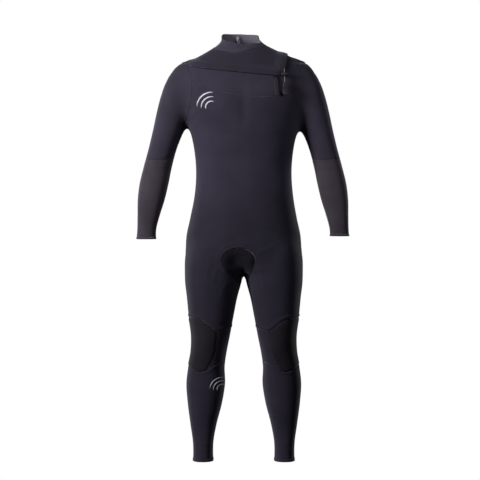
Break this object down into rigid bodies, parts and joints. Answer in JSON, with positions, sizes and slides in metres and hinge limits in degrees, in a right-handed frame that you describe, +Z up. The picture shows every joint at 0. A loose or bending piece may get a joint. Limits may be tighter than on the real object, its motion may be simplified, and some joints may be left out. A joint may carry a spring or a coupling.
{
  "type": "full wetsuit",
  "caption": "Full-length wetsuit with long sleeves, a raised neck, a slanting chest zip under a neck flap with a drawcord, knee pads and a crotch gusset, in its worn shape.",
  "frame": {"origin": "in the middle of the neck at the collar's base, where a hanger's hook stands", "axes": "+Z up, -Y the wearer's front, +X the wearer's left"},
  "size_m": [0.7158, 0.2527, 1.45],
  "materials": {
    "smooth_jersey": "smooth knitted nylon jersey, dark blue-grey",
    "panel_jersey": "knitted nylon jersey, charcoal",
    "sleeve_jersey": "knitted nylon jersey, warm charcoal",
    "knee_jersey": "hard-wearing textured knit, near black",
    "collar_jersey": "soft knitted jersey, charcoal",
    "zip_plastic": "moulded acetal, satin black",
    "zip_tape": "woven polyester tape, black",
    "cord_braid": "braided elastic cord, charcoal",
    "lock_plastic": "moulded nylon, matte black",
    "pull_rubber": "soft moulded rubber, black",
    "label_cloth": "woven ribbon, grey, blank"
  },
  "bodies": {
    "suit": {"upper_sleeve_left": "panel_jersey", "forearm_sleeve_left": "sleeve_jersey", "wrist_hem_left": "sleeve_jersey", "upper_sleeve_right": "panel_jersey", "forearm_sleeve_right": "sleeve_jersey", "wrist_hem_right": "sleeve_jersey", "ankle_hem_left": "smooth_jersey", "shin_left": "smooth_jersey", "calf_left": "smooth_jersey", "knee_pad_left": "knee_jersey", "knee_back_left": "knee_jersey", "ankle_hem_right": "smooth_jersey", "shin_right": "smooth_jersey", "calf_right": "smooth_jersey", "knee_pad_right": "knee_jersey", "knee_back_right": "knee_jersey", "collar": "collar_jersey", "crotch_gusset": "knee_jersey", "back_body": "smooth_jersey", "front_body": "smooth_jersey", "chest_panel": "panel_jersey", "neck_flap": "panel_jersey", "storm_flap": "panel_jersey", "zip_row_upper": "zip_tape", "zip_row_lower": "zip_tape", "zip_stop_closed": "zip_plastic", "zip_stop_open": "zip_plastic", "drawcord": "cord_braid", "cord_eye_shoulder": "lock_plastic", "cord_eye_corner": "lock_plastic", "hang_loop": "label_cloth", "size_label": "label_cloth"},
    "slider": {"zip_slider": "zip_plastic", "zip_pull_ring": "zip_plastic"},
    "pull": {"zip_pull_tab": "pull_rubber"},
    "cord_lock": {"cord_lock_body": "lock_plastic"},
    "lock_button": {"cord_lock_button": "lock_plastic"},
    "cord_end": {"cord_tag": "pull_rubber"}
  },
  "joints": [
    {"name": "zip_slide", "type": "hinge", "parent": "suit", "child": "slider", "pos_m": [0.03205, 0.49796, -0.08225], "axis": [-0.113, 0, -0.9936], "range_deg": [0, 24.9]},
    {"name": "zip_pull_lift", "type": "hinge", "parent": "slider", "child": "pull", "pos_m": [0.10992, -0.08647, -0.10267], "axis": [-0.9843, -0.1365, 0.1119], "range_deg": [0, 95]},
    {"name": "cord_lock_slide", "type": "slide", "parent": "suit", "child": "cord_lock", "axis": [0.0199, -0.3694, -0.9291], "range_m": [0, 0.0175]},
    {"name": "cord_lock_press", "type": "slide", "parent": "cord_lock", "child": "lock_button", "axis": [-1, 0, 0], "range_m": [0, 0.003], "stiffness_N_per_m": 250},
    {"name": "cord_end_lift", "type": "hinge", "parent": "suit", "child": "cord_end", "pos_m": [0.13906, -0.08881, -0.1167], "axis": [-1, 0, 0], "range_deg": [0, 90], "deforming": ["drawcord"]}
  ]
}
